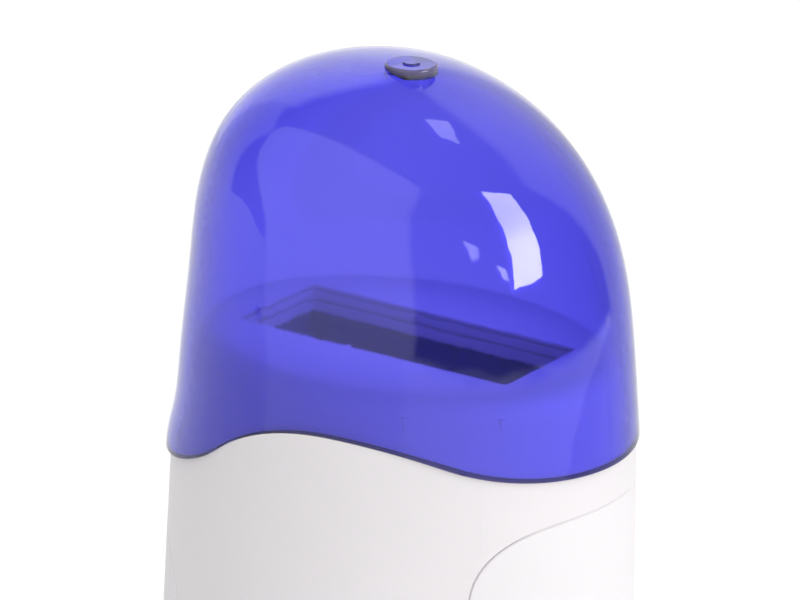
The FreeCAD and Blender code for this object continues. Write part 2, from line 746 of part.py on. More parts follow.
def new_sketch(body, role, name):
    """Sketch on one of a body's own origin planes."""
    sketch = body.newObject("Sketcher::SketchObject", name)
    plane = next(item for item in body.Origin.OriginFeatures if item.Role == role)
    sketch.AttachmentSupport = [(plane, "")]
    sketch.MapMode = "FlatFace"
    return sketch


def outline(sketch, corners):
    """Closed outline of straight lines, each corner's two coordinates tied to expressions."""
    points = [Vector(value(x), value(y), 0) for x, y in corners]
    first = sketch.GeometryCount
    for n, point in enumerate(points):
        sketch.addGeometry(Part.LineSegment(point, points[(n + 1) % len(points)]), False)
    for n, corner in enumerate(corners):
        line = first + n
        following = first + (n + 1) % len(corners)
        sketch.addConstraint(Sketcher.Constraint("Coincident", line, CURVE_END, following, CURVE_START))
        for axis, text in zip("XY", corner):
            tie(sketch, Sketcher.Constraint(f"Distance{axis}", line, CURVE_START, value(text)),
                f"{axis}{line}", text)


def circle(sketch, radius, x="0", y="0"):
    """Circle with its centre and radius tied to expressions."""
    number = sketch.addGeometry(Part.Circle(Vector(value(x), value(y), 0), AXES["Z"], value(radius)), False)
    tie(sketch, Sketcher.Constraint("DistanceX", number, CURVE_CENTRE, value(x)), f"X{number}", x)
    tie(sketch, Sketcher.Constraint("DistanceY", number, CURVE_CENTRE, value(y)), f"Y{number}", y)
    tie(sketch, Sketcher.Constraint("Radius", number, value(radius)), f"R{number}", radius)


def turned(name, corners):
    """Body turned round its own Y axis from corners given as radius and distance along Y."""
    body = doc.addObject("PartDesign::Body", name)
    sketch = new_sketch(body, "XY_Plane", name + "_profile")
    outline(sketch, corners)
    turn = body.newObject("PartDesign::Revolution", name + "_turn")
    turn.Profile = sketch
    turn.ReferenceAxis = (sketch, ["V_Axis"])
    turn.Angle = 360
    return body


def padded(name, role, length, draw):
    """Body padded both ways from one of its origin planes, and the sketch that draw fills."""
    body = doc.addObject("PartDesign::Body", name)
    sketch = new_sketch(body, role, name + "_profile")
    draw(sketch)
    pad = body.newObject("PartDesign::Pad", name + "_pad")
    pad.Profile = sketch
    pad.Midplane = True
    bind(pad, Length=length)
    return body


def make_clamp():
    """Sprung strip over the heater: two feet on the plate and a bridge on the mica."""
    lift = "(heater_thickness + mica_thickness)"
    bridge = "(heater_height / 2 + mica_margin + clamp_gap)"
    foot = f"({bridge} + clamp_lean)"
    toe = f"({foot} + clamp_foot)"
    under = [("0", toe), ("0", foot), (lift, bridge)]
    slant = "clamp_sheet * 0.45"  # how far the upper face of a slanting leg lies outside the lower one
    over = [(f"{lift} + clamp_sheet", f"{bridge} + {slant}"), ("clamp_sheet", f"{foot} + {slant}"),
            ("clamp_sheet", toe)]
    corners = [(y, f"-({z})") for y, z in under] + under[::-1]
    corners += over[::-1] + [(y, f"-({z})") for y, z in over]
    body = padded("clamp_spring", "YZ_Plane", "clamp_width", lambda sketch: outline(sketch, corners))
    return place(body, 0, PLATE_BACK, HEATER_LEVEL)


def make_thermostat():
    narrow = "thermostat_radius - thermostat_step"
    body = turned("thermostat", [("0", "0"), ("thermostat_radius", "0"),
                                 ("thermostat_radius", "thermostat_rim"),
                                 (narrow, "thermostat_rim + thermostat_step / 2"),
                                 (narrow, "thermostat_height"), ("0", "thermostat_height")])
    return place(body, "thermostat_x", PLATE_BACK, CONTROL_LEVEL)


def make_fuse():
    return rod("thermal_fuse", "fuse_radius", "fuse_length", "fuse_x - fuse_length / 2",
               f"{PLATE_BACK} + fuse_radius", CONTROL_LEVEL, "X")


# ---------------------------------------------------------------- board, lamp and button

FLANGE_ARC = f"(half_depth + {SIDE} + body_taper * (deck_height - button_z) - wall)"
FLANGE_REACH = "(button_radius + button_flange)"
FLANGE_FRONT = f"({SIDE} - ({FLANGE_ARC} ^ 2 - {FLANGE_REACH} ^ 2) ^ 0.5 + seat_gap)"  # clear of the wall
FLANGE_BACK = f"({FLANGE_FRONT} + button_sheet)"


def switch_front():
    """Expression for the y of the switch's front face."""
    return f"(-{board_face()} - switch_depth)"


def make_board():
    def draw(sketch):
        half = "board_length / 2"
        outline(sketch, [(f"-{half}", "board_low"), (half, "board_low"), (half, "board_high"),
                         (f"-{half}", "board_high")])
        for x, z in board_holes():
            circle(sketch, "screw_radius + screw_hole_gap", x, z)
    body = padded("circuit_board", "XZ_Plane", "board_thickness", draw)
    return place(body, 0, f"-{board_face()} + board_thickness / 2", 0)


def make_lamp():
    led = turned("indicator_led", [("0", "0"), ("lamp_radius + lamp_rim", "0"),
                                   ("lamp_radius + lamp_rim", "-lamp_height / 5"),
                                   ("lamp_radius", "-lamp_height / 5"), ("lamp_radius", "-lamp_height * 0.7"),
                                   ("lamp_radius * 0.7", "-lamp_height * 0.9"), ("0", "-lamp_height")])
    place(led, 0, f"-{board_face()}", "lamp_z")
    inner = f"(wall - {body_front('lamp_z')} + 1.5 * seat_gap)"
    outer = f"(-{body_front('lamp_z')} - lens_proud)"
    lens = turned("indicator_lens", [("0", outer), ("lens_radius * 0.6", f"{outer} + lens_proud * 0.4"),
                                     ("lens_radius", f"{outer} + lens_proud * 1.5"), ("lens_radius", inner),
                                     ("lens_radius + lens_flange", inner),
                                     ("lens_radius + lens_flange", f"{inner} + lens_flange"),
                                     ("0", f"{inner} + lens_flange")])
    return [led, place(lens, 0, 0, "lamp_z")]


def make_button():
    """Crowned button with a flange behind the wall, and the plunger in its stem."""
    face = f"(-{body_front('button_z')} - button_proud)"
    stem_end = f"({FLANGE_BACK} + stem_length)"
    crown = "button_proud * 0.7"  # how far the face falls from its middle to its rim
    button = turned("power_button", [("0", face), ("button_radius * 0.5", f"{face} + {crown} * 0.1"),
                                     ("button_radius * 0.85", f"{face} + {crown} * 0.4"),
                                     ("button_radius", f"{face} + {crown}"),
                                     ("button_radius", FLANGE_FRONT), (FLANGE_REACH, FLANGE_FRONT),
                                     (FLANGE_REACH, FLANGE_BACK), ("stem_radius", FLANGE_BACK),
                                     ("stem_radius", stem_end), ("0", stem_end)])
    place(button, 0, 0, "button_z")
    plunger = rod("switch_plunger", "plunger_radius", f"{switch_front()} - {stem_end} + plunger_grip",
                  0, stem_end, "button_z", "Y")
    return [button, plunger]


def make_switch():
    blank = rounded_block("switch_blank", "switch_round", "Y", "switch_side", "switch_depth", "switch_side",
                          y=f"{switch_front()} + switch_depth / 2", z="button_z - switch_side / 2")
    bore = rod("switch_bore", "plunger_radius + plunger_gap", "plunger_grip + button_travel + bite",
               0, switch_front(), "button_z", "Y")
    return cut("switch_body", blank, bore)


def make_spring():
    """Coil of square wire between the button's flange and the switch."""
    height = f"({switch_front()} - {FLANGE_BACK} - spring_wire - 2 * touch_gap)"
    helix = bind(doc.addObject("Part::Helix", "spring_line"), Radius="spring_radius", Height=height,
                 Pitch=f"{height} / spring_turns")
    wire = bind(doc.addObject("Part::RegularPolygon", "spring_section"), Circumradius="spring_wire / 2 ^ 0.5")
    wire.Polygon = 4
    wire.Placement.Rotation = FreeCAD.Rotation(AXES["X"], 90) * FreeCAD.Rotation(AXES["Z"], 45)
    place(wire, "spring_radius", 0, 0)
    coil = doc.addObject("Part::Sweep", "button_spring")
    coil.Sections, coil.Spine, coil.Solid, coil.Frenet = [wire], (helix, ["Edge1"]), True, True
    coil.Placement.Rotation = FreeCAD.Rotation(AXES["X"], -90)
    return place(coil, 0, f"{FLANGE_BACK} + spring_wire / 2 + touch_gap", "button_z")


# ---------------------------------------------------------------- inlet

def make_inlet():
    """Figure-8 inlet: barrel, flange and cavity in one, and its two pins."""
    seat = inlet_seat()
    barrel = block("inlet_barrel", "inlet_length", "inlet_depth", "inlet_height",
                   y=f"{seat} + inlet_flange_sheet / 2 - inlet_depth / 2", z="inlet_z - inlet_height / 2")
    flange = rounded_block("inlet_front", "inlet_flange - seat_gap", "Y", "inlet_length + 2 * inlet_flange",
                           "inlet_flange_sheet", "inlet_height + 2 * inlet_flange",
                           y=f"{seat} + inlet_flange_sheet / 2",
                           z="inlet_z - inlet_height / 2 - inlet_flange")
    start = f"({seat} + inlet_flange_sheet - inlet_cavity_depth)"
    lobes = [rod(f"inlet_lobe_{n}", "inlet_lobe", "inlet_cavity_depth + bite", f"{side} * pin_spacing / 2",
                 start, "inlet_z", "Y") for n, side in enumerate((-1, 1))]
    waist_height = "(inlet_lobe * 1.7)"
    waist = block("inlet_waist", "pin_spacing", "inlet_cavity_depth + bite", waist_height,
                  y=f"{start} + (inlet_cavity_depth + bite) / 2", z=f"inlet_z - {waist_height} / 2")
    holes = [rod(f"pin_hole_{n}", "pin_radius + touch_gap", "inlet_depth", f"{side} * pin_spacing / 2",
                 f"{start} - inlet_depth + bite", "inlet_z", "Y") for n, side in enumerate((-1, 1))]
    socket = cut("inlet_socket", fuse("inlet_blank", barrel, flange), *lobes, waist, *holes)
    return [socket, make_pins(f"({start} + inlet_cavity_depth - pin_inset - pin_length)")]


def make_pins(back):
    """Two pins through the inlet's back wall, rounded at their free ends."""
    pins = []
    for n, side in enumerate((-1, 1)):
        pin = rod(f"inlet_pin_rod_{n}", "pin_radius", "pin_length", f"{side} * pin_spacing / 2", back,
                  "inlet_z", "Y")
        pins.append(rounded(f"inlet_pin_{n}", pin, "pin_radius * 0.8",
                            lambda edge: edge.BoundBox.YMin > value(f"{back} + pin_length / 2")))
    return group("inlet_pins", *pins)


# ---------------------------------------------------------------- base

def screw(name, x, y, z, axis="Z", length="screw_length"):
    """Screw whose head starts at a point and whose shank runs along an axis."""
    head = rod(name + "_head", "screw_head", "screw_head_height", x, y, z, axis)
    shank = rod(name + "_shank", "screw_radius", f"screw_head_height + {length}", x, y, z, axis)
    return fuse(name, head, shank)


def make_cover():
    """Plate that closes the body from below, with a rim inside the wall."""
    top, inset = "(cover_bottom + cover_thickness)", "wall + cover_gap"
    plate = body_form("cover_plate", inset, "cover_bottom", top)
    rim = cut("cover_rim_ring",
              body_form("cover_rim_outside", inset, f"({top} - bite)", f"({top} + cover_rim)"),
              body_form("cover_rim_inside", inset + " + cover_rim_wall", f"({top} - 2 * bite)",
                        f"({top} + cover_rim + bite)"))
    gaps = [rod(f"cover_gap_{n}", "base_post_radius + screw_hole_gap", "cover_rim + bite", x, y, top)
            for n, (x, y) in enumerate(base_posts())]
    rim = cut("cover_rim_cut", rim, *gaps)
    holes = []
    for n, (x, y) in enumerate(base_posts()):
        holes.append(rod(f"cover_hole_{n}", "screw_radius + screw_hole_gap", f"2 * {top}", x, y, "0"))
        holes.append(rod(f"cover_sink_{n}", "screw_head + screw_hole_gap",
                         "screw_head_height + bite + seat_gap", x, y, "cover_bottom - bite"))
    for n, (x, y) in enumerate(CORNERS):
        holes.append(rod(f"foot_recess_{n}", "foot_radius", "foot_recess + bite", f"{x} * foot_x",
                         f"{y} * foot_y", "cover_bottom - bite"))
    return cut("base_cover", fuse("cover_blank", plate, rim), *holes)


def make_feet():
    feet = []
    for n, (x, y) in enumerate(CORNERS):
        foot = rod(f"foot_rod_{n}", "foot_radius - touch_gap", "cover_bottom + foot_recess", f"{x} * foot_x",
                   f"{y} * foot_y", 0)
        feet.append(rounded(f"foot_{n}", foot, "foot_bevel", lambda edge: edge.BoundBox.ZMax < 1e-3,
                            "Part::Chamfer"))
    return group("rubber_feet", *feet)


def make_screws():
    base = [screw(f"base_screw_{n}", x, y, "cover_bottom + seat_gap")
            for n, (x, y) in enumerate(base_posts())]
    well = [screw(f"well_screw_{n}", x, y, "deck_height - flange_drop - flange_thickness - screw_head_height",
                  length="well_screw_length") for n, (x, y) in enumerate(well_posts())]
    board = []
    for n, (x, z) in enumerate(board_holes()):
        item = screw(f"board_screw_{n}", 0, 0, 0)
        item.Placement.Rotation = FreeCAD.Rotation(AXES["Z"], Vector(0, -1, 0))
        board.append(place(item, x, f"-{board_face()} + board_thickness + screw_head_height", z))
    return [group("base_screws", *base), group("well_screws", *well), group("board_screws", *board)]


# ---------------------------------------------------------------- build and export

def check(thing):
    """Stop on any object that failed to compute."""
    bad = [item.Label for item in doc.Objects if {"Invalid", "Error"} & set(item.State)]
    if bad:
        raise RuntimeError(f"these failed: {bad}")
    if thing.Shape.isNull() or not thing.Shape.isValid():
        raise RuntimeError(f"{thing.Label} has no valid shape")


def main():
    pieces = [make_cap(), make_housing(), make_window(), make_well(), make_clamp(), make_thermostat(),
              make_fuse(), make_board(), make_switch(), make_spring(), make_cover(), make_feet()]
    pieces.append(make_grip("right_grip", 1, "right_grip_edge", "right_grip_drop"))
    pieces.append(make_grip("left_grip", -1, "left_grip_edge", "left_grip_drop"))
    pieces.append(make_plate("front_heat_plate", -1))
    pieces.append(make_plate("back_heat_plate", 1))
    for several in (make_heater(), make_lamp(), make_button(), make_inlet(), make_screws()):
        pieces.extend(several)
    doc.recompute()
    for piece in pieces:
        check(piece)
    os.makedirs("parts", exist_ok=True)
    for piece in pieces:
        piece.Shape.exportStep(f"parts/{piece.Label}.step")
        print(f"{piece.Label:20s} {len(piece.Shape.Solids)} solids, {len(piece.Shape.Faces):3d} faces, "
              f"volume {piece.Shape.Volume:9.1f}")


main()
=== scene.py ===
"""Looks of the roll-on wax heater: materials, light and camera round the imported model."""

import math

import bmesh
import bpy
from mathutils import Matrix, Vector


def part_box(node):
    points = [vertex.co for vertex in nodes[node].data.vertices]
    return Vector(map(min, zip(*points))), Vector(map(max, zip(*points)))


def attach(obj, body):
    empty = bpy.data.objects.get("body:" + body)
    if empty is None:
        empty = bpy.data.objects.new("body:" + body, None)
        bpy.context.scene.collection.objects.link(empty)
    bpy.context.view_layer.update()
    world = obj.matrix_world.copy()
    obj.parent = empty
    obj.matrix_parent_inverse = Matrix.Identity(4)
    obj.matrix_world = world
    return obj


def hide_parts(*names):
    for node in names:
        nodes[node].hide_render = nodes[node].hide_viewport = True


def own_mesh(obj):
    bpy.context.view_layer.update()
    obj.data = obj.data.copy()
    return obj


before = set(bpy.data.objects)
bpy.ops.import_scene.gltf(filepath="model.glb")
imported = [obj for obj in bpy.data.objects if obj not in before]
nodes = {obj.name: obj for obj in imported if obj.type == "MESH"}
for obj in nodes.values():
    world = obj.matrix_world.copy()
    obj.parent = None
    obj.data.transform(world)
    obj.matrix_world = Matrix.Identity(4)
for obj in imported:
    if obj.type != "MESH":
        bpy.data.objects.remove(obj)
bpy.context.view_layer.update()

MM = 0.001
UP = Vector((0, 0, 1))
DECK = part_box("main_housing")[1].z
CAP_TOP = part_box("cap")[1].z


def add_object(name, data):
    """New object in the scene, at the origin."""
    made = bpy.data.objects.new(name, data)
    bpy.context.scene.collection.objects.link(made)
    return made


# ---------------------------------------------------------------- camera

# It stands where a camera fitted to the photograph stands, given from the middle of the deck.
CAMERA_PLACE = Vector((481.98, -754.37, 318.02)) * MM
CAMERA_AZIMUTH, CAMERA_ELEVATION, CAMERA_ROLL = 32.65, 19.251, 1.799  # degrees
CAMERA_LENS, SENSOR_WIDTH = 272.1, 36.0  # millimetres
CLIP_START, CLIP_END = 0.01, 20

# Directions in the studio are a turn to the right from the camera's heading, and an elevation.
HEADING = Vector((-math.sin(math.radians(CAMERA_AZIMUTH)), math.cos(math.radians(CAMERA_AZIMUTH)), 0))
RIGHT = Vector((HEADING.y, -HEADING.x, 0))


def make_camera():
    elevation, roll = math.radians(CAMERA_ELEVATION), math.radians(CAMERA_ROLL)
    back = UP * math.sin(elevation) - HEADING * math.cos(elevation)
    upright = back.cross(RIGHT)
    right = RIGHT * math.cos(roll) + upright * math.sin(roll)
    up = upright * math.cos(roll) - RIGHT * math.sin(roll)
    turn = Matrix((right, up, back)).transposed().to_4x4()
    camera = add_object("camera", bpy.data.cameras.new("camera"))
    camera.matrix_world = Matrix.Translation(UP * DECK + CAMERA_PLACE) @ turn
    camera.data.lens, camera.data.sensor_width = CAMERA_LENS, SENSOR_WIDTH
    camera.data.clip_start, camera.data.clip_end = CLIP_START, CLIP_END
    bpy.context.scene.camera = camera


# ---------------------------------------------------------------- node helpers

class Tree:
    """Short words for building a node tree."""

    # A Mix node's first input and its output, for each kind of value.
    MIX_SOCKETS = {"FLOAT": (2, 0), "VECTOR": (4, 1), "RGBA": (6, 2)}

    def __init__(self, tree):
        self.tree = tree

    def add(self, kind, *sources, out=0, **settings):
        """New node whose inputs are fed in their order, but for those given as None; returns an output."""
        node = self.tree.nodes.new(kind)
        for key, setting in settings.items():
            setattr(node, key, setting)
        for socket, source in zip(node.inputs, sources):
            if source is not None:
                self.feed(socket, source)
        return node.outputs[out]

    def feed(self, socket, source):
        """Link an output to a socket, or set the socket to a value."""
        if isinstance(source, bpy.types.NodeSocket):
            self.tree.links.new(source, socket)
        else:
            socket.default_value = source

    def math(self, operation, *sources):
        return self.add("ShaderNodeMath", *sources, operation=operation)

    def product(self, result, *others):
        for other in others:
            result = self.math("MULTIPLY", result, other)
        return result

    def total(self, result, *others):
        for other in others:
            result = self.math("ADD", result, other)
        return result

    def vector(self, operation, *sources):
        """Vector worked out from vectors."""
        return self.add("ShaderNodeVectorMath", *sources, operation=operation)

    def scaled(self, vector, scale):
        return self.vector("SCALE", vector, None, None, scale)

    def measure(self, operation, *sources):
        """Number worked out from vectors."""
        return self.add("ShaderNodeVectorMath", *sources, out="Value", operation=operation)

    def dot(self, first, second):
        return self.measure("DOT_PRODUCT", first, second)

    def step(self, value, low, high, at_low=0.0, at_high=1.0):
        """Smooth step from one value to another."""
        return self.add("ShaderNodeMapRange", value, low, high, at_low, at_high,
                        interpolation_type="SMOOTHSTEP")

    def fall(self, value, low, high):
        """Smooth step down from one to nought."""
        return self.step(value, low, high, 1.0, 0.0)

    def mix(self, share, first, second, kind="FLOAT"):
        """From one value to another as the share goes from nought to one."""
        socket, out = self.MIX_SOCKETS[kind]
        mixed = self.add("ShaderNodeMix", share, out=out, data_type=kind)
        self.feed(mixed.node.inputs[socket], first)
        self.feed(mixed.node.inputs[socket + 1], second)
        return mixed

    def blend(self, share, first, second):
        """From one colour to another."""
        return self.mix(share, first, second, "RGBA")

    def noise(self, place, scale, detail=2.0, roughness=0.5):
        return self.add("ShaderNodeTexNoise", place, None, scale, detail, roughness)


def principled(name, **inputs):
    """Material with a Principled shader whose inputs are set, and helpers for its tree."""
    made = bpy.data.materials.new(name)
    made.use_nodes = True
    shader = made.node_tree.nodes["Principled BSDF"]
    for key, value in inputs.items():
        shader.inputs[key.replace("_", " ")].default_value = value
    return made, Tree(made.node_tree), shader


def bump(tree, shader, height, strength, distance, smooth=None):
    """Relief on a shader, on a smooth normal if one is given; the distance is the relief's full height."""
    normal = tree.add("ShaderNodeBump", strength, distance)
    tree.feed(normal.node.inputs["Height"], height)
    if smooth is not None:
        tree.feed(normal.node.inputs["Normal"], smooth)
    tree.feed(shader.inputs["Normal"], normal)


# ---------------------------------------------------------------- the cap's see-through plastic

# One wall lets this much red, green and blue light through.
CAP_WALL = 1.8 * MM
CAP_PASSES = (0.325, 0.308, 0.912)
CAP_DENSITY = 800.0  # per metre, above the strongest absorption

# The surface is clear, a little tinted where it is seen edge on, and scatters light that leaves it.
CAP_CLEAR, EDGE_ON_TINT = (1, 1, 1, 1), (0.9, 0.88, 0.55, 1)
EDGE_ON = (0.4, 0.9)  # values of Layer Weight's Facing
LEAVING_ROUGHNESS = 0.1

# It has slow waves and fine specks, whose noises have scales per metre.
WAVE_SCALE, WAVE_STRENGTH, WAVE_DEPTH = 90.0, 0.1, 0.01 * MM
SPECK_SCALE, SPECK_ROUGHNESS = 1400.0, 0.07
SPECK_PEAKS = (0.70, 0.76)  # values of the noise

# The rim's face is level and lies below the deck. It is opaque dark violet: painted shade, which draws the
# dark line along the cap's lower edge.
RIM_SHADE_COLOUR, RIM_ROUGHNESS = (0.09, 0.06, 0.22, 1), 0.5
RIM_UPRIGHT = 0.5  # how far its normal points up or down, at least
RIM_HEIGHT = DECK - 5 * MM  # at most

# The boss's side is near its top's middle, isn't level and lies high up. Its dark, half-clear violet is
# painted shade, for the dark crescent under the boss's top.
BOSS_SHADE_COLOUR, BOSS_ROUGHNESS, BOSS_CLEARNESS = (0.15, 0.13, 0.26, 1), 0.3, 0.3
BOSS_MIDDLE, BOSS_RADIUS = Vector((-0.65 * MM, 0, CAP_TOP)), 4.15 * MM
BOSS_REACH = (BOSS_RADIUS + 0.2 * MM, BOSS_RADIUS + 0.6 * MM)
BOSS_UPRIGHT = (0.9, 0.99)
BOSS_HEIGHT = (CAP_TOP - 1.5 * MM, CAP_TOP - 0.9 * MM)
BOSS_SHADE_FULL = 0.35  # share of the side's mask at which its painted shade is whole

# The dome's level spot: its middle, its edge, how upright its normals are, and how fast they should lean.
CROWN_MIDDLE = Vector((-7.0 * MM, 0, 0))
CROWN_REACH = (4 * MM, 6.5 * MM)
CROWN_UPRIGHT = (0.93, 0.97)
CROWN_CURVE = 20.5  # per metre


def crown(tree, place, normal):
    """The cap's normal, with the level spot at the dome's middle rounded as the dome round it is."""
    flat = tree.vector("MULTIPLY", place, (1, 1, 0))
    out = tree.vector("SUBTRACT", flat, CROWN_MIDDLE)
    rounded = tree.vector("ADD", tree.scaled(out, CROWN_CURVE), UP)
    # The wall's inner side is turned the way that its own normal is.
    rise = tree.dot(normal, UP)
    turned = tree.scaled(rounded, tree.math("SIGN", rise))
    share = tree.product(tree.fall(tree.measure("LENGTH", out), *CROWN_REACH),
                         tree.step(tree.math("ABSOLUTE", rise), *CROWN_UPRIGHT))
    return tree.vector("NORMALIZE", tree.mix(share, normal, turned, "VECTOR"))


def absorption(tree, wall, passes, density):
    """Volume that lets the given shares of red, green and blue through one wall."""
    colour = [1 + math.log(share) / wall / density for share in passes]
    return tree.add("ShaderNodeVolumeAbsorption", (*colour, 1), density)


def clear_violet():
    """See-through violet plastic: clear at its surface, coloured by its thickness, matt at rim and boss,
    which get painted shade in dark violet.
    """
    made, tree, shader = principled("cap_clear_violet", Roughness=0.0, IOR=1.49)
    place = tree.add("ShaderNodeTexCoord", out="Object")
    normal = tree.add("ShaderNodeNewGeometry", out="Normal")
    upright = tree.math("ABSOLUTE", tree.add("ShaderNodeSeparateXYZ", normal, out="Z"))
    height = tree.add("ShaderNodeSeparateXYZ", place, out="Z")
    # Mask of the rim's face, which gets painted shade.
    rim = tree.product(tree.math("GREATER_THAN", upright, RIM_UPRIGHT),
                       tree.math("LESS_THAN", height, RIM_HEIGHT))
    # Mask of the boss's side, which gets painted shade.
    boss = tree.product(tree.fall(tree.measure("DISTANCE", place, BOSS_MIDDLE), *BOSS_REACH),
                        tree.fall(upright, *BOSS_UPRIGHT), tree.step(height, *BOSS_HEIGHT))
    speck = tree.step(tree.noise(place, SPECK_SCALE, 1.0), *SPECK_PEAKS)
    leaving = tree.add("ShaderNodeNewGeometry", out="Backfacing")
    edge_on = tree.step(tree.add("ShaderNodeLayerWeight", out="Facing"), *EDGE_ON)
    colour = tree.blend(edge_on, CAP_CLEAR, EDGE_ON_TINT)
    # Painted shade: the boss's side turns dark violet.
    colour = tree.blend(tree.step(boss, 0.0, BOSS_SHADE_FULL), colour, BOSS_SHADE_COLOUR)
    clearness = tree.product(tree.mix(rim, 1.0, 0.0), tree.mix(boss, 1.0, BOSS_CLEARNESS))
    roughness = tree.total(tree.product(rim, RIM_ROUGHNESS), tree.product(speck, SPECK_ROUGHNESS),
                           tree.product(boss, BOSS_ROUGHNESS), tree.product(leaving, LEAVING_ROUGHNESS))
    # Painted shade: the rim's face turns dark violet and opaque.
    tree.feed(shader.inputs["Base Color"], tree.blend(rim, colour, RIM_SHADE_COLOUR))
    tree.feed(shader.inputs["Transmission Weight"], clearness)
    tree.feed(shader.inputs["Roughness"], roughness)
    waves = tree.noise(place, WAVE_SCALE, 1.0)
    bump(tree, shader, waves, WAVE_STRENGTH, WAVE_DEPTH, crown(tree, place, normal))
    output = made.node_tree.nodes["Material Output"]
    tree.feed(output.inputs["Volume"], absorption(tree, CAP_WALL, CAP_PASSES, CAP_DENSITY))
    return made


# ---------------------------------------------------------------- other materials

GRAIN_DETAIL, GRAIN_ROUGHNESS = 3.0, 0.6  # of the noise
GRAIN_RANGE = (0.3, 0.7)  # nearly all of the noise's values
GRAIN_STRENGTH = 0.5
GRAIN_SHARE = 0.4  # of a finish that has a pattern too
CLOUD_SIZE, CLOUD_SHADE = 60, 0.96  # the clouds are this many grains across, and this much darker
ROUGHNESS_SPREAD = 0.04


def moulded_plastic(name, colour, roughness, grain, relief):
    """Opaque moulded plastic with slow clouds and a fine spark-eroded grain, its sizes in metres."""
    made, tree, shader = principled(name, IOR=1.5)
    place = tree.add("ShaderNodeTexCoord", out="Object")
    fine = tree.noise(place, 1 / grain, GRAIN_DETAIL, GRAIN_ROUGHNESS)
    cloud = tree.noise(place, 1 / (CLOUD_SIZE * grain))
    darker = [CLOUD_SHADE * channel for channel in colour]
    tree.feed(shader.inputs["Base Color"], tree.blend(cloud, (*darker, 1), (*colour, 1)))
    spread = (roughness - ROUGHNESS_SPREAD, roughness + ROUGHNESS_SPREAD)
    tree.feed(shader.inputs["Roughness"], tree.step(fine, *GRAIN_RANGE, *spread))
    bump(tree, shader, fine, GRAIN_STRENGTH, relief)
    return made


def flakes(tree, place, scale):
    """Flakes, each of its own shade."""
    cells = tree.add("ShaderNodeTexVoronoi", place, None, scale, out="Color")
    return tree.add("ShaderNodeSeparateXYZ", cells, out="X")


def weave(tree, place, scale):
    """Threads that cross."""
    return tree.product(*(tree.add("ShaderNodeTexWave", place, scale, 0.0, out="Fac", bands_direction=way)
                          for way in "XZ"))


def finish(name, dark, light, grain, roughness, relief, stretch=(1, 1, 1), pattern=None, **inputs):
    """Finish of two colours, with the grain's size and its relief in metres, and a range of roughness."""
    made, tree, shader = principled(name, **inputs)
    place = tree.add("ShaderNodeMapping", tree.add("ShaderNodeTexCoord", out="Object"), None, None, stretch)
    fine = tree.noise(place, 1 / grain, GRAIN_DETAIL, GRAIN_ROUGHNESS)
    if pattern:
        fine = tree.total(tree.product(fine, GRAIN_SHARE),
                          tree.product(pattern(tree, place, 1 / grain), 1 - GRAIN_SHARE))
    shade = tree.step(fine, *GRAIN_RANGE)
    tree.feed(shader.inputs["Base Color"], tree.blend(shade, (*dark, 1), (*light, 1)))
    tree.feed(shader.inputs["Roughness"], tree.step(fine, *GRAIN_RANGE, *roughness))
    bump(tree, shader, fine, GRAIN_STRENGTH, relief)
    return made


def dress(made, *names):
    """Give CAD nodes a material."""
    for name in names:
        slots = nodes[name].material_slots
        if not slots:
            nodes[name].data.materials.append(made)
        for slot in slots:
            slot.material = made


def dress_casing():
    """What shows from outside, and the inner pieces with the same finish."""
    dress(clear_violet(), "cap")
    dress(moulded_plastic("body_white", colour=(0.785, 0.755, 0.775), roughness=0.38,
                          grain=0.35 * MM, relief=0.02 * MM), "main_housing", "base_cover")
    dress(moulded_plastic("grip_white", colour=(0.805, 0.78, 0.80), roughness=0.5,
                          grain=0.45 * MM, relief=0.03 * MM), "right_grip", "left_grip")
    dress(moulded_plastic("well_dark", colour=(0.045, 0.045, 0.31), roughness=0.35,
                          grain=0.5 * MM, relief=0.02 * MM), "cartridge_well")
    dress(finish("button_violet", dark=(0.075, 0.055, 0.42), light=(0.09, 0.07, 0.47), grain=0.4 * MM,
                 roughness=(0.26, 0.36), relief=0.015 * MM, Coat_Weight=0.3, Coat_Roughness=0.15),
          "power_button")
    dress(finish("window_clear", dark=(0.93, 0.95, 0.96), light=(0.97, 0.98, 0.98), grain=3 * MM,
                 roughness=(0.02, 0.07), relief=0.005 * MM, Transmission_Weight=1.0, IOR=1.58),
          "level_window")
    dress(finish("lamp_red", dark=(0.62, 0.012, 0.01), light=(0.8, 0.03, 0.02), grain=0.6 * MM,
                 roughness=(0.12, 0.25), relief=0.01 * MM, Transmission_Weight=0.55, IOR=1.5),
          "indicator_lens", "indicator_led")
    dress(finish("component_black", dark=(0.018, 0.018, 0.02), light=(0.035, 0.035, 0.038), grain=0.3 * MM,
                 roughness=(0.38, 0.55), relief=0.02 * MM),
          "inlet_socket", "switch_body", "switch_plunger", "thermostat", "thermal_fuse")
    dress(finish("rubber", dark=(0.022, 0.022, 0.024), light=(0.05, 0.05, 0.052), grain=0.5 * MM,
                 roughness=(0.72, 0.9), relief=0.04 * MM, Specular_IOR_Level=0.3), "rubber_feet")
    dress(finish("pin_brass", dark=(0.66, 0.48, 0.22), light=(0.8, 0.62, 0.33), grain=0.25 * MM,
                 roughness=(0.2, 0.34), relief=0.006 * MM, stretch=(1, 0.1, 1), Metallic=1.0), "inlet_pins")
    dress(finish("screw_steel", dark=(0.5, 0.5, 0.5), light=(0.68, 0.67, 0.64), grain=0.5 * MM,
                 roughness=(0.25, 0.42), relief=0.01 * MM, Metallic=1.0),
          "base_screws", "well_screws", "board_screws")


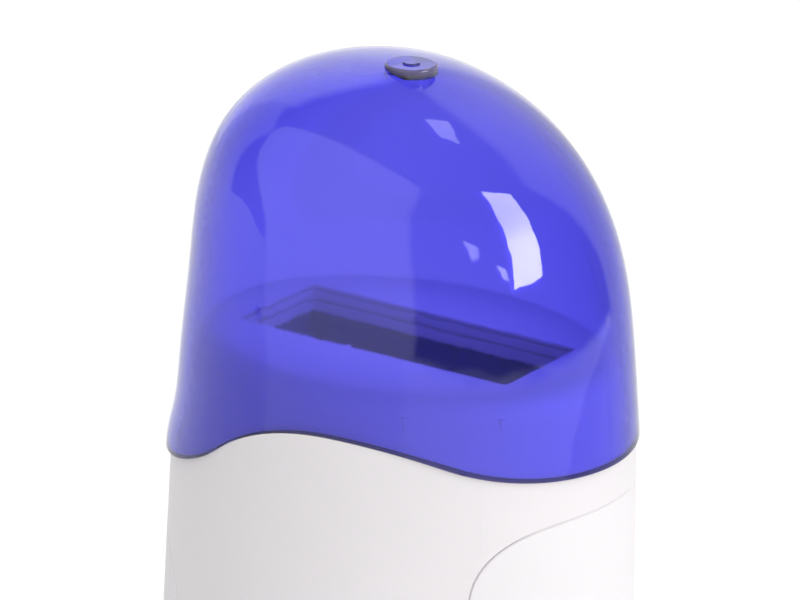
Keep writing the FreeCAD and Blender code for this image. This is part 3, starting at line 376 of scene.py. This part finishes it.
def dress_inside():
    """What else the closed housing holds."""
    dress(finish("aluminium", dark=(0.72, 0.73, 0.74), light=(0.83, 0.84, 0.85), grain=0.6 * MM,
                 roughness=(0.26, 0.42), relief=0.01 * MM, stretch=(1, 1, 0.03), Metallic=1.0),
          "front_heat_plate", "back_heat_plate")
    dress(finish("ceramic", dark=(0.66, 0.62, 0.55), light=(0.8, 0.77, 0.71), grain=0.5 * MM,
                 roughness=(0.5, 0.7), relief=0.02 * MM), "heating_element")
    dress(finish("mica", dark=(0.42, 0.35, 0.25), light=(0.7, 0.64, 0.52), grain=1.6 * MM,
                 roughness=(0.22, 0.5), relief=0.01 * MM, pattern=flakes, Coat_Weight=0.4),
          "insulation_sheet")
    dress(finish("board_green", dark=(0.012, 0.1, 0.035), light=(0.03, 0.2, 0.08), grain=0.45 * MM,
                 roughness=(0.22, 0.38), relief=0.008 * MM, pattern=weave, Coat_Weight=0.5), "circuit_board")
    steel = finish("spring_steel", dark=(0.38, 0.38, 0.4), light=(0.56, 0.56, 0.57), grain=0.3 * MM,
                   roughness=(0.22, 0.36), relief=0.006 * MM, stretch=(0.1, 1, 1), Metallic=1.0)
    dress(steel, "clamp_spring", "button_spring")
    make_button_spring(steel)


# ---------------------------------------------------------------- button's spring

SPRING_WIRE, SPRING_TURNS = 0.5 * MM, 3
WIRE_SIDES, TURN_STEPS = 8, 32
CLOSER_ENDS = 0.5  # at the ends, the turns are closer together by this share of their mean distance


def spring_line(low, high):
    """Middle line of a spring's wire along Y between two corners, its turns closer at its ends."""
    middle = (low + high) / 2
    radius = (high.x - low.x - SPRING_WIRE) / 2
    length = high.y - low.y - SPRING_WIRE
    line = []
    for n in range(SPRING_TURNS * TURN_STEPS + 1):
        turn = 2 * math.pi * n / TURN_STEPS
        share = n / (SPRING_TURNS * TURN_STEPS)
        rise = share - CLOSER_ENDS * math.sin(2 * math.pi * share) / (2 * math.pi)
        line.append(Vector((middle.x + radius * math.cos(turn), low.y + SPRING_WIRE / 2 + length * rise,
                            middle.z + radius * math.sin(turn))))
    return line


def coil(name, low, high):
    """Spring of round wire along Y between two corners."""
    line = spring_line(low, high)
    middle = (low + high) / 2
    around = [2 * math.pi * k / WIRE_SIDES for k in range(WIRE_SIDES)]
    made = bmesh.new()
    rings = []
    for n, place in enumerate(line):
        ahead = (line[min(n + 1, len(line) - 1)] - line[max(n - 1, 0)]).normalized()
        side = ahead.cross(Vector((place.x - middle.x, 0, place.z - middle.z))).normalized()
        out = side.cross(ahead)
        rings.append([made.verts.new(place + (out * math.cos(a) + side * math.sin(a)) * SPRING_WIRE / 2)
                      for a in around])
    for first, second in zip(rings, rings[1:]):
        for k in range(WIRE_SIDES):
            after = (k + 1) % WIRE_SIDES
            made.faces.new((first[k], first[after], second[after], second[k])).smooth = True
    made.faces.new(rings[0])
    made.faces.new(rings[-1])
    bmesh.ops.recalc_face_normals(made, faces=made.faces)
    mesh = bpy.data.meshes.new(name)
    made.to_mesh(mesh)
    made.free()
    return add_object(name, mesh)


def make_button_spring(steel):
    """Round-wire coil in the place of the CAD spring, which is hidden."""
    low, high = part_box("button_spring")
    piece = coil("button_spring_coil", low, high)
    piece.data.materials.append(steel)
    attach(piece, "body")
    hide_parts("button_spring")
    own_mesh(piece)


# ---------------------------------------------------------------- light

# What shows in reflections, the brightest where two lie over each other. Angles are in degrees.
MIRROR_BASE = 0.35
# Fields: turns, elevations, softness and strength.
MIRRORED_FIELDS = (
    ((-66, 60), (-90, 44), 8, 1.0),  # backdrop
    ((-34, 16), (-12, 48), 14, 1.35),  # the backdrop's brightest part
    ((60, 199), (-90, -7), 3, 1.6),  # table top in front, in the window's light
    ((48, 72), (-30, -12), 6, 2.1),  # the table top's brightest part
)
# Panels: corners as turn and elevation, softness and strength.
MIRRORED_PANELS = (
    (((-50, -50), (-56, 48), (-8, 64), (111, 70), (-152, -40)), 5.0, 1.35),  # white wall on the left
    (((29.0, 53.2), (30.5, 47.0), (40.6, 52.3), (38.1, 55.8)), 0.6, 2.6),  # small lamp behind
    (((150.2, 34.8), (142.9, 32.3), (148.0, 26.2), (153.2, 24.0)), 2.0, 4.5),  # fold of the curtain
    (((139.9, 24.2), (134.9, 23.2), (136.9, 17.6), (139.4, 18.1)), 1.5, 7.0),  # another fold of it
)
WINDOW_CORNERS = ((84.5, 57.3), (71.7, 49.1), (112.4, 18.4), (136.3, 14.2))
WINDOW_SOFTNESS = 0.6
WINDOW_STRENGTH = (16.0, 9.2)  # low down and high up
WINDOW_RISE = (0.55, 0.75)  # upward part of a ray's direction, low down and high up
CURTAIN_SCALE, CURTAIN_SHARE = 14.0, 0.5  # how fine and how uneven the window's light is

# Light on matt surfaces: its mean, what the right, above and the window add, and the window's turn.
SOFT_LIGHT = dict(mean=0.33, right=0.18, above=0.8, window=0.92, turn=138)
LIGHT_UNDER_CAP = dict(mean=0.92, right=0.0, above=0.4, window=3.4, turn=116)
WINDOW_ELEVATION = 12

BACKGROUND = 1.05  # strength that the camera sees, just over white
MOST_BOUNCES = 24


def direction(turn, elevation):
    """Unit vector towards a place in the studio."""
    turn, elevation = math.radians(turn), math.radians(elevation)
    level = HEADING * math.cos(turn) + RIGHT * math.sin(turn)
    return level * math.cos(elevation) + UP * math.sin(elevation)


def span(tree, ray, turns, elevations, softness):
    """One inside a field between two turns and two elevations, nought outside."""
    around = tree.math("ARCTAN2", tree.dot(ray, RIGHT), tree.dot(ray, HEADING))
    height = tree.math("ARCSINE", tree.dot(ray, UP))
    soft = math.radians(softness) / 2
    inside = []
    for angle, (low, high), turning in ((around, turns, True), (height, elevations, False)):
        middle, half = math.radians((low + high) / 2), math.radians((high - low) / 2)
        away = tree.math("SUBTRACT", angle, middle)
        if turning:
            away = tree.math("WRAP", away, math.pi, -math.pi)
        inside.append(tree.fall(tree.math("ABSOLUTE", away), half - soft, half + soft))
    return tree.product(*inside)


def panel(tree, ray, corners, softness):
    """One where a ray meets a flat panel with these corners, as seen from the object."""
    points = [direction(*corner) for corner in corners]
    middle = sum(points, Vector())
    soft = math.radians(softness) / 2
    inside = []
    for n, point in enumerate(points):
        edge = point.cross(points[(n + 1) % len(points)]).normalized()
        if edge.dot(middle) < 0:
            edge = -edge
        inside.append(tree.step(tree.dot(ray, edge), -soft, soft))
    return tree.product(*inside)


def mirrored_studio(tree, ray):
    """Strength of the studio's light as reflections show it."""
    uneven = tree.total(tree.product(tree.noise(ray, CURTAIN_SCALE), CURTAIN_SHARE), 1 - CURTAIN_SHARE / 2)
    window = tree.product(uneven, tree.step(tree.dot(ray, UP), *WINDOW_RISE, *WINDOW_STRENGTH))
    seen = [(span(tree, ray, *field), strength) for *field, strength in MIRRORED_FIELDS]
    seen += [(panel(tree, ray, *shape), strength) for *shape, strength in MIRRORED_PANELS]
    seen.append((panel(tree, ray, WINDOW_CORNERS, WINDOW_SOFTNESS), window))
    brightest = MIRROR_BASE
    for share, strength in seen:
        brightest = tree.math("MAXIMUM", brightest, tree.product(share, strength))
    return brightest


def slanting_light(tree, ray, mean, right, above, window, turn):
    """Strength of soft light that comes more from some sides than from others."""
    lit = tree.math("MAXIMUM", tree.dot(ray, direction(turn, WINDOW_ELEVATION)), 0.0)
    return tree.total(mean, tree.product(tree.dot(ray, RIGHT), right), tree.product(lit, window),
                      tree.product(tree.dot(ray, UP), above))


def make_world():
    """Plain to the camera, soft light to matt surfaces, and the studio to glossy and refracted rays."""
    world = bpy.data.worlds.new("studio")
    world.use_nodes = True
    tree = Tree(world.node_tree)
    ray = tree.add("ShaderNodeTexCoord", out="Generated")
    path = tree.add("ShaderNodeLightPath").node
    # What lies under the cap is lit by rays that leave it and are then refracted.
    scattered = tree.math("GREATER_THAN", path.outputs["Diffuse Depth"], 0.0)
    glossy = tree.mix(scattered, mirrored_studio(tree, ray), slanting_light(tree, ray, **LIGHT_UNDER_CAP))
    strength = tree.mix(path.outputs["Is Glossy Ray"], slanting_light(tree, ray, **SOFT_LIGHT), glossy)
    shown = tree.mix(path.outputs["Is Camera Ray"], strength, BACKGROUND)
    background = world.node_tree.nodes["Background"]
    background.inputs["Color"].default_value = (1, 1, 1, 1)
    tree.feed(background.inputs["Strength"], shown)
    bpy.context.scene.world = world
    bpy.context.scene.view_settings.view_transform = "Standard"


def set_bounces():
    """Enough for light that crosses the cap's walls and the clear pieces several times."""
    cycles = bpy.context.scene.cycles
    cycles.max_bounces = cycles.transmission_bounces = cycles.glossy_bounces = MOST_BOUNCES


# ---------------------------------------------------------------- floor

FLOOR_RADIUS, FLOOR_SIDES = 0.9, 96
FLOOR_BEHIND = 0.5  # how far behind the object its middle lies, as a share of its radius
FLOOR_COLOUR, FLOOR_ROUGHNESS = (0.93, 0.93, 0.93, 1), 0.9


def make_floor():
    turns = [2 * math.pi * n / FLOOR_SIDES for n in range(FLOOR_SIDES)]
    edge = [(FLOOR_RADIUS * math.cos(turn), FLOOR_RADIUS * math.sin(turn), 0) for turn in turns]
    mesh = bpy.data.meshes.new("floor")
    mesh.from_pydata(edge, [], [range(FLOOR_SIDES)])
    white, *_ = principled("floor_white", Base_Color=FLOOR_COLOUR, Roughness=FLOOR_ROUGHNESS)
    mesh.materials.append(white)
    floor = add_object("floor", mesh)
    floor.location = HEADING * FLOOR_RADIUS * FLOOR_BEHIND


make_camera()
dress_casing()
dress_inside()
make_floor()
make_world()
set_bounces()
